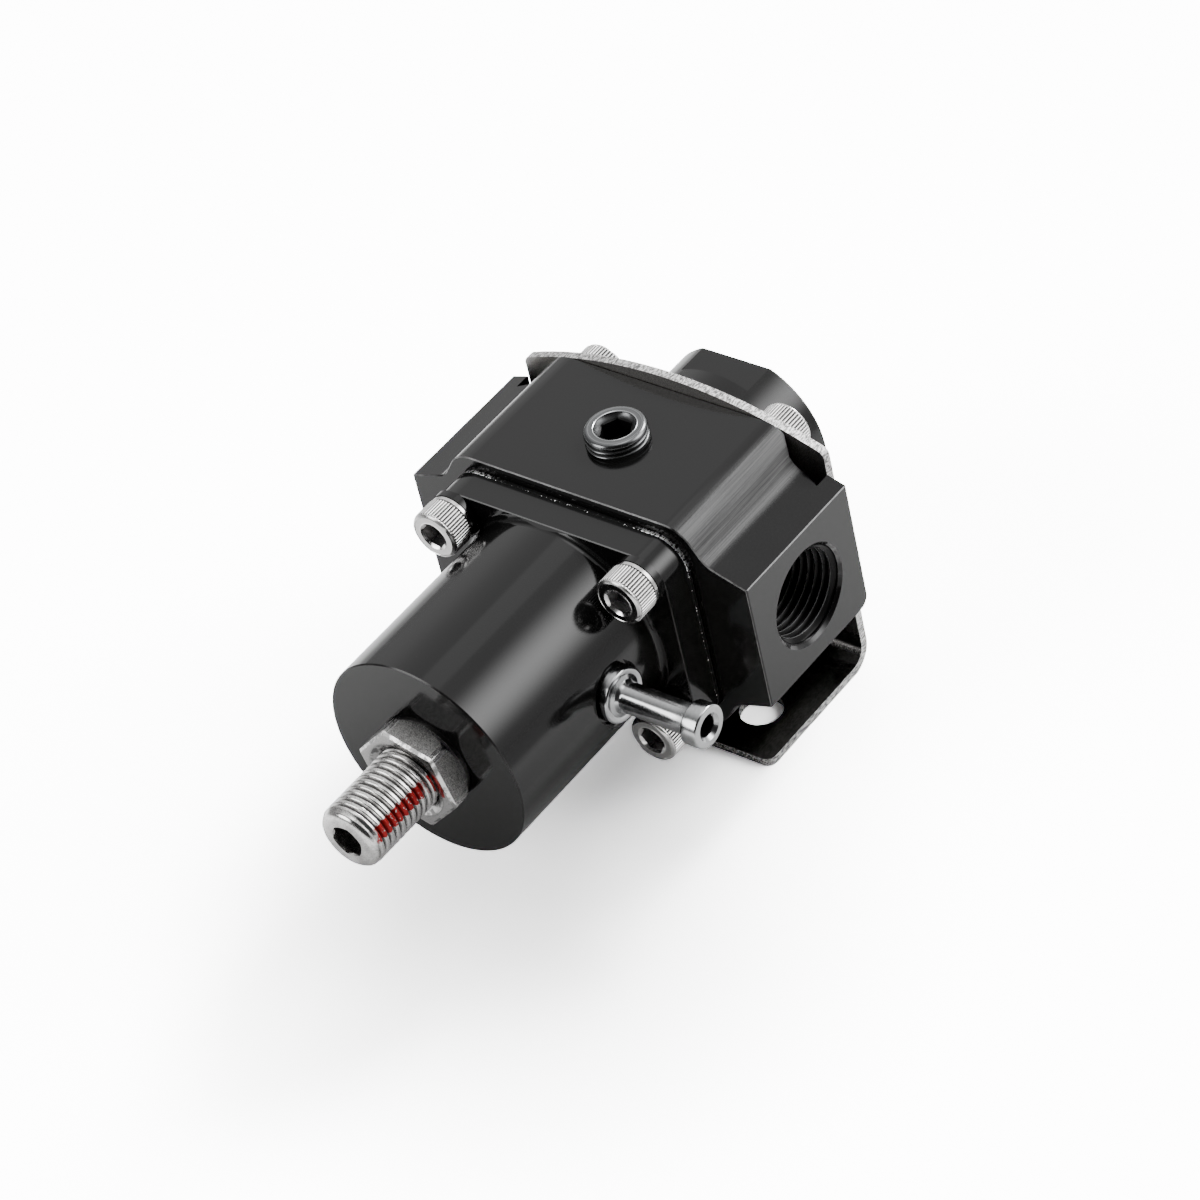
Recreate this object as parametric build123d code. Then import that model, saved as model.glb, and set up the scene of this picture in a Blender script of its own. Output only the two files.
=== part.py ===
# Fuel pressure regulator: a billet body with two side ports, a spring cap in front, a diaphragm
# between them, and a folded bracket and return cap behind. All sizes are in millimetres.
#
# While the pieces are built, Y is the spring axis. The body's front face is the plane y = 0, the
# adjusting screw points to -Y, X runs through the side ports and Z is up. When they are written,
# the pieces are moved so that the origin is midway between the two foot holes, on the lower face
# of the bracket's foot.
import os
from math import atan, atan2, cos, degrees, pi, radians, sin, sqrt, tan

from build123d import *

# body
body_half_width = 32.8
body_half_height = 20.4
body_depth = 26.8
top_flat_half_width = 18.8
shoulder_radius = 5.5
flank_angle = 58.0
flank_root_radius = 4.0
wing_slope = 18.0
wing_drop = 8.3
body_edge_break = 0.18
port_face_edge_break = 0.15
relief_inset = 10.5
relief_slant = 2.1
relief_depth = 2.1
relief_ear_depth = 3.05
ear_thickness = 3.2
ear_corner_radius = 2.5

# side ports and the way from them to the valve
port_radius = 8.2
port_mouth_radius = 8.7
port_depth = 13.5
port_offset = 0.2
passage_radius = 4.0
gallery_radius = 9.5
fuel_chamber_radius = 15.6
fuel_chamber_depth = 3.6
web_thickness = 3.0
rear_bore_depth = 6.2

# gauge port and its plug
gauge_offset = 0.4
gauge_thread_radius = 5.15
gauge_port_depth = 7.5
plug_top_height = 2.5
plug_length = 7.6
plug_rim_round = 0.85
plug_socket = 4.8
plug_socket_depth = 4.2
plug_recess_radius = 3.5
plug_recess_depth = 0.9
gauge_passage_radius = 2.2

# diaphragm
diaphragm_thickness = 0.9
diaphragm_inset = 0.15
roll_inner_radius = 11.6
roll_radius = 1.7

# spring cap
flange_end_margin = 4.45
flange_side_margin = 0.2
flange_thickness = 5.2
flange_corner_radius = 5.2
flange_edge_break = 0.15
cap_length = 41.8
cap_radius = 18.25
cap_bore_radius = 13.6
cap_end_wall = 6.2
cap_root_fillet = 1.2
cap_front_break = 0.2
cap_recess_radius = 15.6
cap_recess_depth = 3.2

# screws
screw_radius = 2.5
screw_head_radius = 4.25
screw_head_height = 5.0
screw_head_chamfer = 0.35
screw_socket = 4.0
screw_socket_depth = 2.6
screw_head_clearance = 0.59
screw_pattern_angle = 38.58
screw_hole_clearance = 0.25
cap_screw_length = 16.0
bracket_screw_length = 12.0
tapped_hole_spare = 1.8
washer_thickness = 1.3
washer_outer_radius = 4.3
washer_split = 0.7
spot_face_radius = 4.5
screw_tip_chamfer = 0.4

# adjusting screw, jam nut and seal
adjuster_radius = 5.55
adjuster_pitch = 1.27
adjuster_tip_y = -61.3
adjuster_length = 27.9
adjuster_tip_radius = 3.9
adjuster_end_chamfer = 0.5
adjuster_socket = 5.0
adjuster_socket_depth = 6.0
nut_across_flats = 16.1
nut_thickness = 5.0
nut_face_radius = 7.7
nut_face_bevel = 0.7
nut_turned_radius = 9.25
nut_turned_round = 1.7
nut_front_break = 0.45
nut_corner_angle = 45.6
nut_mouth_radius = 6.9
nut_mouth_depth = 0.6
thread_seal_radius = 6.25
seal_pocket_radius = 7.0

# hose barb
barb_y = -17.2
barb_seat_x = 17.2
barb_spot_radius = 5.2
barb_collar_radius = 4.6
barb_collar_length = 2.5
barb_thread_radius = 3.0
barb_stem_radius = 2.5
barb_bead_radius = 3.6
barb_bead_length = 3.0
barb_end_x = 35.7
barb_collar_edge = 0.3
barb_bead_edge = 0.2
barb_bore_radius = 1.8
barb_mouth_radius = 2.1

# bracket
sheet_thickness = 1.5
bracket_half_width = 29.4
plate_apex_height = 22.6
plate_side_height = 16.95
plate_corner_radius = 1.5
axis_height = 27.0
bend_inner_radius = 3.0
foot_front_y = 0.5
foot_corner_radius = 1.6
foot_hole_x = 21.2
foot_hole_y = 9.7
foot_hole_radius = 3.6

# return cap behind the bracket
rear_cap_radius = 15.1
rear_cap_length = 16.0
rear_cap_flat = 13.6
rear_cap_shoulder = 9.5
rear_cap_edge = 0.5
spigot_radius = 12.0
spigot_hole_clearance = 0.3
spigot_reach = 4.4
return_port_depth = 13.0
return_passage_radius = 4.0

# valve
orifice_radius = 2.4
seat_nose_radius = 4.4
seat_nose_y = 9.6
seat_lip_radius = 3.2
orifice_length = 1.6
seat_thread_lead = 1.0
seat_socket = 8.0
seat_socket_depth = 1.0
seat_thread_radius = 5.6
seat_flange_radius = 8.0
seat_flange_thickness = 1.5
seat_bore_radius = 3.0
seal_section = 1.2
groove_clearance = 0.15
seat_seal_radius = 6.95
ball_radius = 3.5
ball_seat_gap = 0.08
ball_fit = 0.05
stem_radius = 3.0
holder_radius = 4.9
ball_cover = 1.3
stem_overhang = 0.8
plate_radius = 10.8
plate_edge_round = 0.5
cup_radius = 11.4
cup_rim_wall = 0.9
rear_plate_thickness = 1.4
cup_thickness = 1.5
cup_rim_height = 2.0
stem_nut_flats = 10.0
stem_nut_height = 4.0

# spring and its movable seat
spring_mean_radius = 9.0
spring_wire_radius = 1.1
spring_turns = 5.5
spring_closed_turns = 1.0
spring_steps = 99
button_radius = 12.6
button_thickness = 2.5
button_boss_radius = 7.4
button_boss_height = 2.5
button_hub_radius = 5.2
button_hub_height = 3.2
thrust_ball_radius = 3.0

# clearances
thread_clearance = 0.03
running_clearance = 0.05
over = 1.0

# places worked out from the sizes above
wing_half_height = body_half_height - wing_drop
relief_inner_x = body_half_width - relief_inset
web_rear = body_depth - rear_bore_depth
gallery_end = web_rear - web_thickness
port_y = body_depth / 2 + port_offset
gauge_y = body_depth / 2 + gauge_offset
screw_pattern_radius = cap_radius + screw_head_radius + screw_head_clearance
screw_pattern_x = screw_pattern_radius * cos(radians(screw_pattern_angle))
screw_pattern_z = screw_pattern_radius * sin(radians(screw_pattern_angle))
flange_half_width = screw_pattern_x + flange_end_margin
flange_half_height = cap_radius + flange_side_margin
flange_rear = -diaphragm_thickness
flange_front = flange_rear - flange_thickness
cap_front = -cap_length
cap_bore_end = cap_front + cap_end_wall
plate_front = body_depth
plate_rear = body_depth + sheet_thickness
rear_cap_end = plate_rear + rear_cap_length
spigot_end = plate_front - spigot_reach
ear_inner_x = body_half_width - ear_thickness
nut_front = cap_front - nut_thickness
adjuster_end = adjuster_tip_y + adjuster_length
cup_front = flange_rear - cup_thickness
stem_end = cup_front - stem_nut_height - stem_overhang
screw_seat = flange_front - washer_thickness
cap_screw_end = screw_seat + cap_screw_length
bracket_screw_end = plate_rear - bracket_screw_length
seat_flange_end = web_rear + seat_flange_thickness
seat_thread_start = gallery_end - seat_thread_lead
seat_seal_y = web_rear - seal_section / 2
rear_seal_y = spigot_end + seal_section
holder_start = rear_plate_thickness
ball_centre = seat_nose_y - sqrt(ball_radius ** 2 - orifice_radius ** 2) - ball_seat_gap
thrust_ball_centre = adjuster_end + thrust_ball_radius * 0.6 + running_clearance
hub_front = thrust_ball_centre + thrust_ball_radius * 0.35
button_front = hub_front + button_hub_height
button_rear = button_front + button_thickness
screw_places = [(x, z) for z in (1, -1) for x in (-1, 1)]
screw_places = [(x * screw_pattern_x, z * screw_pattern_z) for x, z in screw_places]


def rod(radius, start, end, x=0.0, z=0.0):
    """A cylinder along Y between two y values."""
    turn = Cylinder(radius, abs(end - start), rotation=(90, 0, 0))
    return Pos(x, (start + end) / 2, z) * turn


def cross_rod(radius, start, end, y=0.0, z=0.0):
    """A cylinder along X between two x values."""
    turn = Cylinder(radius, abs(end - start), rotation=(0, 90, 0))
    return Pos((start + end) / 2, y, z) * turn


def front_plane(y):
    """A sketch plane across the spring axis: its own x is X, its own y is Z, and it faces -Y."""
    return Plane(origin=(0, y, 0), x_dir=(1, 0, 0), z_dir=(0, -1, 0))


def turned(points):
    """A solid turned about Y from (radius, y) corners."""
    section = make_face(Polyline(*points, close=True))
    return revolve(section, Axis.Y, 360)


def hexagon(across_flats, start, end, angle=0.0):
    """A hexagonal bar along Y between two y values, a corner at the given angle from X."""
    shape = RegularPolygon(across_flats / 2, 6, major_radius=False, rotation=angle)
    return extrude(front_plane(max(start, end)) * shape, amount=abs(end - start))


def rounded_plate(half_width, half_height, corner, start, end):
    """A plate across Y with rounded corners."""
    shape = RectangleRounded(2 * half_width, 2 * half_height, corner)
    return extrude(front_plane(max(start, end)) * shape, amount=abs(end - start))


def sealing_ring(mean_radius, section, y):
    """A round-section ring about Y."""
    return Pos(0, y, 0) * Rot(90, 0, 0) * Torus(mean_radius, section / 2)


def up_rod(radius, start, end):
    """A cylinder along Z between two z values, on the gauge port's axis."""
    return Pos(0, gauge_y, (start + end) / 2) * Cylinder(radius, abs(end - start))


def ring_groove(mean_radius, middle):
    """The groove about Y that takes a sealing ring."""
    half = seal_section / 2
    outer = rod(mean_radius + half + groove_clearance, middle - half, middle + half + over)
    return outer - rod(mean_radius - half - groove_clearance, middle - over, middle + 2 * over)


def body_profile():
    """The billet's section: flat top and bottom, round shoulders, steep flanks, sloping wings."""
    steep, gentle = radians(flank_angle), radians(wing_slope)
    run = body_half_width - top_flat_half_width - shoulder_radius * sin(steep)
    run -= flank_root_radius * (sin(steep) - sin(gentle))
    fall = wing_drop - shoulder_radius * (1 - cos(steep))
    fall -= flank_root_radius * (cos(gentle) - cos(steep))
    flank_length = (fall - run * tan(gentle)) / (sin(steep) - cos(steep) * tan(gentle))
    with BuildSketch(front_plane(body_depth)) as profile:
        with BuildLine():
            top = Line((0, body_half_height), (top_flat_half_width, body_half_height))
            shoulder = JernArc(top @ 1, top % 1, shoulder_radius, -flank_angle)
            flank = PolarLine(shoulder @ 1, flank_length, -flank_angle)
            root = JernArc(flank @ 1, flank % 1, flank_root_radius, flank_angle - wing_slope)
            wing = Line(root @ 1, (body_half_width, wing_half_height))
            Line(wing @ 1, (body_half_width, 0))
            mirror(about=Plane.XZ)
            mirror(about=Plane.YZ)
        make_face()
    return profile.sketch


def wing_relief(side):
    """The shallow vertical groove behind one wing, which leaves an ear at the port face."""
    floor_y = body_depth - relief_depth
    section = Polyline(
        (side * relief_inner_x, body_depth + over), (side * relief_inner_x, body_depth),
        (side * (relief_inner_x + relief_slant), floor_y),
        (side * (relief_inner_x + 2 * relief_slant), floor_y),
        (side * ear_inner_x, body_depth - relief_ear_depth),
        (side * ear_inner_x, body_depth + over), close=True)
    return extrude(make_face(section), amount=body_half_height + over, both=True)


def ear_rounding(side):
    """What is taken off the lower rear corner of one ear."""
    size = ear_corner_radius + over
    middle = side * (ear_inner_x + (ear_thickness + over) / 2)
    corner_y = body_depth - ear_corner_radius
    corner_z = -wing_half_height + ear_corner_radius
    block = Box(ear_thickness + over, size, size)
    block = Pos(middle, corner_y + size / 2, corner_z - size / 2) * block
    start, end = middle - ear_thickness, middle + ear_thickness
    return block - cross_rod(ear_corner_radius, start, end, corner_y, corner_z)


def port_cut(side):
    """One side port: a mouth chamfer, the tapped bore and the drilling into the gallery."""
    mouth = side * body_half_width
    bottom = side * (body_half_width - port_depth)
    chamfer_depth = port_mouth_radius - port_radius
    cone = Cone(port_radius, port_mouth_radius, chamfer_depth, rotation=(0, side * 90, 0))
    cone = Pos(mouth - side * chamfer_depth / 2, port_y, 0) * cone
    bore = cross_rod(port_radius, bottom, mouth + side * over, port_y)
    drill_tip = Cone(0, port_radius, port_radius * 0.5, rotation=(0, side * 90, 0))
    drill_tip = Pos(bottom - side * port_radius * 0.25, port_y, 0) * drill_tip
    passage = cross_rod(passage_radius, side * (gallery_radius - over), bottom, port_y)
    return bore + cone + drill_tip + passage


def body_cavity():
    """Everything that fuel can reach inside the body, with the seat's thread and its groove."""
    gauge_bottom = body_half_height - gauge_port_depth
    cavity = rod(fuel_chamber_radius, -over, fuel_chamber_depth)
    cavity += rod(gallery_radius, 0, gallery_end)
    cavity += up_rod(gauge_passage_radius, gallery_radius - over, gauge_bottom + over)
    cavity += up_rod(gauge_thread_radius + thread_clearance, gauge_bottom,
                     body_half_height + over)
    cavity += rod(seat_thread_radius + thread_clearance, gallery_end - over, web_rear + over)
    cavity += rod(spigot_radius + thread_clearance, web_rear, body_depth + over)
    cavity += ring_groove(seat_seal_radius, seat_seal_y)
    return cavity + port_cut(-1) + port_cut(1)


def make_body():
    """The billet body with its chambers, ports and tapped holes."""
    body = extrude(body_profile(), amount=body_depth)
    for place in (0, -1):
        outline = body.faces().sort_by(Axis.Y)[place].outer_wire().edges()
        body = chamfer(outline, body_edge_break)
    for place in (0, -1):
        outline = body.faces().sort_by(Axis.X)[place].outer_wire().edges()
        body = chamfer(outline, port_face_edge_break)
    for side in (-1, 1):
        body -= wing_relief(side)
        body -= ear_rounding(side)
    body -= body_cavity()
    for x, z in screw_places:
        hole = screw_radius + thread_clearance
        body -= rod(hole, -over, cap_screw_end + tapped_hole_spare, x, z)
        body -= rod(hole, bracket_screw_end - tapped_hole_spare, body_depth + over, x, z)
    return body


def half_circle(middle, radius):
    """A half circle bulging to -Y from the plane y = 0, run from right to left if radius > 0."""
    ends = (middle + radius, 0), (middle - radius, 0)
    return ThreePointArc(ends[0], (middle, -abs(radius)), ends[1])


def make_diaphragm():
    """The clamped sheet, its rolled ring free to move and the hole for the stem."""
    sheet = rounded_plate(flange_half_width - diaphragm_inset, flange_half_height - diaphragm_inset,
                          flange_corner_radius, flange_rear, 0)
    roll_middle = roll_inner_radius + roll_radius
    inner = roll_radius - diaphragm_thickness
    roll = half_circle(roll_middle, roll_radius)
    hollow = half_circle(roll_middle, -inner)
    edges = [roll, Line(roll @ 1, hollow @ 0), hollow, Line(hollow @ 1, roll @ 0)]
    ring = revolve(make_face(Wire(edges)), Axis.Y, 360)
    trough = turned([(roll_middle - inner, over), (roll_middle - inner, flange_rear - over),
                     (roll_middle + inner, flange_rear - over), (roll_middle + inner, over)])
    sheet = sheet - trough + ring
    sheet -= rod(stem_radius + thread_clearance, flange_rear - over, over)
    for x, z in screw_places:
        sheet -= rod(screw_radius + screw_hole_clearance, flange_rear - over, over, x, z)
    return sheet


def cap_root():
    """The concave ring between barrel and flange, trimmed where it reaches the flange's edge."""
    start = (cap_radius + cap_root_fillet, flange_front)
    end = (cap_radius, flange_front - cap_root_fillet)
    inside = cap_radius - over
    halfway = cap_root_fillet * (1 - sqrt(0.5))
    hollow = ThreePointArc(start, (cap_radius + halfway, flange_front - halfway), end)
    edges = [hollow, Line(end, (inside, end[1])), Line((inside, end[1]), (inside, start[1])),
             Line((inside, start[1]), start)]
    ring = revolve(make_face(Wire(edges)), Axis.Y, 360)
    limit = rounded_plate(flange_half_width - flange_edge_break,
                          flange_half_height - flange_edge_break,
                          flange_corner_radius, flange_front - 2 * cap_root_fillet, flange_front)
    return ring & limit


def make_cap():
    """The spring housing: flange, barrel, bores, the seat for the barb and the screw holes."""
    flange = rounded_plate(flange_half_width, flange_half_height, flange_corner_radius,
                           flange_front, flange_rear)
    flange = chamfer(flange.faces().sort_by(Axis.Y)[0].edges(), flange_edge_break)
    barrel = rod(cap_radius, cap_front, flange_front + over)
    barrel = chamfer(barrel.faces().sort_by(Axis.Y)[0].edges(), cap_front_break)
    cap = flange + barrel + cap_root()
    cap -= rod(cap_bore_radius, cap_bore_end, flange_rear + over)
    cap -= rod(cap_recess_radius, flange_rear - cap_recess_depth, flange_rear + over)
    cap -= rod(adjuster_radius + thread_clearance, cap_front - over, cap_bore_end + over)
    cap -= cross_rod(barb_spot_radius, barb_seat_x, cap_radius + over, barb_y)
    cap -= cross_rod(barb_thread_radius + thread_clearance, cap_bore_radius - 2 * over,
                     cap_radius, barb_y)
    for x, z in screw_places:
        cap -= rod(screw_radius + screw_hole_clearance, flange_front - over, over, x, z)
        cap -= rod(spot_face_radius, flange_front - 2 * cap_root_fillet, flange_front, x, z)
    return cap


def socket_screw(length):
    """A socket-head screw along Y, its bearing face at y = 0 and its head in front of it."""
    head = rod(screw_head_radius, -screw_head_height, 0)
    head = chamfer(head.edges(), screw_head_chamfer)
    screw = head + rod(screw_radius, -over, length)
    screw = chamfer(screw.faces().sort_by(Axis.Y)[-1].edges(), screw_tip_chamfer)
    top = -screw_head_height
    screw -= hexagon(screw_socket, top - over, top + screw_socket_depth)
    screw -= drill_point(screw_socket / 2, top + screw_socket_depth)
    return screw


def drill_point(radius, start):
    """The cone that a drill leaves at the end of a hole that runs towards +Y."""
    depth = radius * tan(radians(31))
    return turned([(0, start - 0.01), (radius, start - 0.01), (0, start + depth)])


def spring_washer(x, z):
    """A split washer under one cap screw, the split turned towards the barrel."""
    washer = rod(washer_outer_radius, flange_front - washer_thickness, flange_front)
    washer -= rod(screw_radius + screw_hole_clearance, flange_front - over - washer_thickness, 0)
    towards = degrees(atan2(-z, -x))
    split = Box(washer_outer_radius + over, 4 * washer_thickness, washer_split)
    split = Pos((washer_outer_radius + over) / 2, flange_front - washer_thickness / 2, 0) * split
    split = Rot(0, -towards, 0) * split
    return Pos(x, 0, z) * (washer - split)


def make_adjuster():
    """The adjusting screw: rounded tip with a hexagon socket, and a hollow for the ball."""
    screw = rod(adjuster_radius, adjuster_tip_y, adjuster_end)
    screw = fillet(screw.faces().sort_by(Axis.Y)[0].edges(), adjuster_radius - adjuster_tip_radius)
    screw = chamfer(screw.faces().sort_by(Axis.Y)[-1].edges(), adjuster_end_chamfer)
    bottom = adjuster_tip_y + adjuster_socket_depth
    screw -= hexagon(adjuster_socket, adjuster_tip_y - over, bottom)
    screw -= drill_point(adjuster_socket / 2, bottom)
    screw -= Pos(0, thrust_ball_centre, 0) * Sphere(thrust_ball_radius + running_clearance)
    return screw


def make_jam_nut():
    """The thin hexagon nut, turned round at its rear corners and hollow beneath for its seal."""
    nut = hexagon(nut_across_flats, nut_front, cap_front, nut_corner_angle)
    nut = chamfer(nut.faces().sort_by(Axis.Y)[0].outer_wire().edges(), nut_front_break)
    bevel_y = cap_front - nut_face_bevel
    inner = nut_turned_radius - nut_turned_round
    with BuildSketch(Plane.XY) as section:
        with BuildLine():
            Polyline((0, nut_front - over), (nut_turned_radius, nut_front - over),
                     (nut_turned_radius, bevel_y - nut_turned_round))
            RadiusArc((nut_turned_radius, bevel_y - nut_turned_round), (inner, bevel_y),
                      -nut_turned_round)
            Polyline((inner, bevel_y), (nut_face_radius, bevel_y), (nut_face_radius, cap_front),
                     (0, cap_front), (0, nut_front - over))
        make_face()
    nut &= revolve(section.sketch, Axis.Y, 360)
    nut -= rod(adjuster_radius + thread_clearance, nut_front - over, cap_front + over)
    nut -= turned([(0, nut_front - over), (nut_mouth_radius, nut_front - over),
                   (nut_mouth_radius, nut_front), (adjuster_radius, nut_front + nut_mouth_depth),
                   (0, nut_front + nut_mouth_depth)])
    nut -= rod(seal_pocket_radius, cap_front - seal_section, cap_front + over)
    return nut


def make_barb():
    """The hose barb: collar, threaded shank, stem and rolled bead, drilled through."""
    thread_start = cap_bore_radius - over / 2
    collar_end = barb_seat_x + barb_collar_length
    bead_start = barb_end_x - barb_bead_length
    barb = cross_rod(barb_thread_radius, thread_start, barb_seat_x + over, barb_y)
    collar = cross_rod(barb_collar_radius, barb_seat_x, collar_end, barb_y)
    barb += fillet(collar.faces().sort_by(Axis.X)[-1].edges(), barb_collar_edge)
    barb += cross_rod(barb_stem_radius, collar_end - over, barb_end_x - over, barb_y)
    bead = cross_rod(barb_bead_radius, bead_start, barb_end_x, barb_y)
    barb += fillet(bead.edges(), barb_bead_edge)
    barb -= cross_rod(barb_bore_radius, thread_start - over, barb_end_x + over, barb_y)
    depth = barb_mouth_radius - barb_bore_radius
    mouth = Cone(barb_bore_radius, barb_mouth_radius, depth, rotation=(0, 90, 0))
    return barb - Pos(barb_end_x - depth / 2, barb_y, 0) * mouth


def make_plug():
    """The gauge port's taper plug: rounded rim, round recess and hexagon socket."""
    top = body_half_height + plug_top_height
    plug = up_rod(gauge_thread_radius, top - plug_length, top)
    plug = fillet(plug.faces().sort_by(Axis.Z)[-1].edges(), plug_rim_round)
    recess = Cone(plug_socket / sqrt(3), plug_recess_radius, plug_recess_depth)
    plug -= Pos(0, gauge_y, top - plug_recess_depth / 2) * recess
    socket = extrude(Plane((0, gauge_y, top + over)) * RegularPolygon(plug_socket / 2, 6,
                     major_radius=False), amount=-(plug_socket_depth + over))
    return plug - socket


def make_bracket():
    """One folded sheet: an arched plate behind the body, a bend and a foot in front of it."""
    foot_bottom = -axis_height
    foot_top = foot_bottom + sheet_thickness
    high = plate_apex_height + over
    section = Polyline((foot_front_y, foot_bottom), (plate_rear, foot_bottom), (plate_rear, high),
                       (plate_front, high), (plate_front, foot_top), (foot_front_y, foot_top),
                       close=True)
    sheet = extrude(Plane.YZ * make_face(section), amount=bracket_half_width, both=True)
    long_edges = sheet.edges().filter_by(Axis.X)
    outer = long_edges.sort_by_distance((0, plate_rear, foot_bottom))[0]
    sheet = fillet(outer, bend_inner_radius + sheet_thickness)
    long_edges = sheet.edges().filter_by(Axis.X)
    inner = long_edges.sort_by_distance((0, plate_front, foot_top))[0]
    sheet = fillet(inner, bend_inner_radius)
    wide, side = bracket_half_width, plate_side_height
    arch = ThreePointArc((wide, side), (0, plate_apex_height), (-wide, side))
    low = foot_bottom - over
    sides = Polyline((-wide, side), (-wide, low), (wide, low), (wide, side))
    outline = make_face(Wire([*arch.edges(), *sides.edges()]))
    sheet &= extrude(front_plane(plate_rear + over) * outline, amount=plate_rear + 2 * over)
    corners = [e for e in sheet.edges().filter_by(Axis.Y) if e.center().Z > 0]
    sheet = fillet(corners, plate_corner_radius)
    corners = [e for e in sheet.edges().filter_by(Axis.Z) if e.center().Y < plate_front / 2]
    sheet = fillet(corners, foot_corner_radius)
    for side in (-1, 1):
        hole = Cylinder(foot_hole_radius, 4 * sheet_thickness)
        sheet -= Pos(side * foot_hole_x, foot_hole_y, foot_bottom) * hole
    hole = spigot_radius + spigot_hole_clearance
    sheet -= rod(hole, plate_front - over, plate_rear + over)
    for x, z in screw_places:
        hole = screw_radius + screw_hole_clearance
        sheet -= rod(hole, plate_front - over, plate_rear + over, x, z)
    return sheet


def make_rear_cap():
    """The return cap: two wrench flats, a threaded spigot through the plate and the port."""
    cap = rod(rear_cap_radius, plate_rear, rear_cap_end)
    flats = rod(rear_cap_radius + over, plate_rear + rear_cap_shoulder, rear_cap_end + over)
    flats -= Pos(0, rear_cap_end, 0) * Box(
        4 * rear_cap_radius, 4 * rear_cap_length, 2 * rear_cap_flat)
    cap -= flats
    cap = chamfer(cap.faces().sort_by(Axis.Y)[-1].outer_wire().edges(), rear_cap_edge)
    cap += rod(spigot_radius, spigot_end, plate_rear + over)
    groove = seal_section + 2 * groove_clearance
    rear_groove = rod(spigot_radius + over, rear_seal_y - groove / 2, rear_seal_y + groove / 2)
    cap -= rear_groove - rod(spigot_radius - seal_section, spigot_end, plate_rear)
    cap -= rod(return_passage_radius, spigot_end - over, rear_cap_end)
    bottom = rear_cap_end - return_port_depth
    depth = port_mouth_radius - port_radius
    cap -= rod(port_radius, bottom, rear_cap_end + over)
    cap -= turned([(0, rear_cap_end - depth), (port_radius, rear_cap_end - depth),
                   (port_mouth_radius, rear_cap_end), (0, rear_cap_end)])
    return cap


def make_seat():
    """The screwed-in valve seat: a nose with a narrow orifice, a thread and a flange."""
    seat = turned([(0, seat_nose_y), (seat_lip_radius, seat_nose_y),
                   (seat_nose_radius, seat_nose_y + seat_nose_radius - seat_lip_radius),
                   (seat_nose_radius, seat_thread_start), (seat_thread_radius, seat_thread_start),
                   (seat_thread_radius, web_rear), (seat_flange_radius, web_rear),
                   (seat_flange_radius, seat_flange_end), (0, seat_flange_end)])
    seat -= rod(orifice_radius, seat_nose_y - over, seat_flange_end)
    seat -= rod(seat_bore_radius, seat_nose_y + orifice_length, seat_flange_end + over)
    return seat - hexagon(seat_socket, seat_flange_end - seat_socket_depth, seat_flange_end + over)


def make_stem():
    """The valve stem: a threaded rod through the plates and a cup that keeps the ball."""
    stem = rod(stem_radius, stem_end, holder_start + over)
    stem = chamfer(stem.faces().sort_by(Axis.Y)[0].edges(), screw_tip_chamfer)
    holder = rod(holder_radius, holder_start, ball_centre + ball_cover)
    stem += chamfer(holder.faces().sort_by(Axis.Y)[-1].edges(), screw_tip_chamfer)
    return stem - Pos(0, ball_centre, 0) * Sphere(ball_radius + ball_fit)


def make_cup():
    """The front clamping plate, with a rim that keeps the spring in the middle."""
    rim_start = cup_front - cup_rim_height
    cup = rod(cup_radius, rim_start, flange_rear)
    cup -= rod(cup_radius - cup_rim_wall, rim_start - over, cup_front)
    return cup - rod(stem_radius + thread_clearance, rim_start - over, over)


def make_rear_plate():
    """The rear clamping plate, its outer edge rounded towards the diaphragm's roll."""
    plate = rod(plate_radius, 0, rear_plate_thickness)
    plate = fillet(plate.faces().sort_by(Axis.Y)[0].edges(), plate_edge_round)
    return plate - rod(stem_radius + thread_clearance, -over, rear_plate_thickness + over)


def make_stem_nut():
    """The nut that clamps the two plates and the diaphragm on the stem."""
    start = cup_front - stem_nut_height
    nut = hexagon(stem_nut_flats, start, cup_front)
    corner = stem_nut_flats / sqrt(3)
    face = stem_nut_flats / 2 - thread_clearance
    slope = (corner + over - face) * tan(radians(30))
    nut &= turned([(0, start), (face, start), (corner + over, start + slope),
                   (corner + over, cup_front), (0, cup_front)])
    return nut - rod(stem_radius + thread_clearance, start - over, cup_front + over)


def make_button():
    """The movable spring seat: a hollow hub for the ball, a disc and a boss in the spring."""
    button = rod(button_hub_radius, hub_front, button_front + over)
    button += rod(button_radius, button_front, button_rear)
    boss = rod(button_boss_radius, button_rear - over, button_rear + button_boss_height)
    button += chamfer(boss.faces().sort_by(Axis.Y)[-1].edges(), screw_tip_chamfer)
    ball = Sphere(thrust_ball_radius + running_clearance)
    return button - Pos(0, thrust_ball_centre, 0) * ball


def make_spring():
    """The main spring: closed and ground end coils, open coils between them."""
    start = button_rear + spring_wire_radius / 2
    end = cup_front - spring_wire_radius / 2
    closed = spring_closed_turns * 2 * spring_wire_radius
    open_pitch = (end - start - 2 * closed) / (spring_turns - 2 * spring_closed_turns)
    points = []
    for step in range(spring_steps + 1):
        turn = spring_turns * step / spring_steps
        first = min(turn, spring_closed_turns)
        last = max(turn - (spring_turns - spring_closed_turns), 0)
        middle = turn - first - last
        y = start + (first + last) * 2 * spring_wire_radius + middle * open_pitch
        angle = 2 * pi * turn
        points.append((spring_mean_radius * cos(angle), y, spring_mean_radius * sin(angle)))
    path = Spline(*points)
    wire = Plane(origin=path @ 0, z_dir=path % 0) * Circle(spring_wire_radius)
    coil = sweep(wire, path=path)
    return coil & rod(spring_mean_radius + 2 * spring_wire_radius, button_rear, cup_front)


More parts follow.
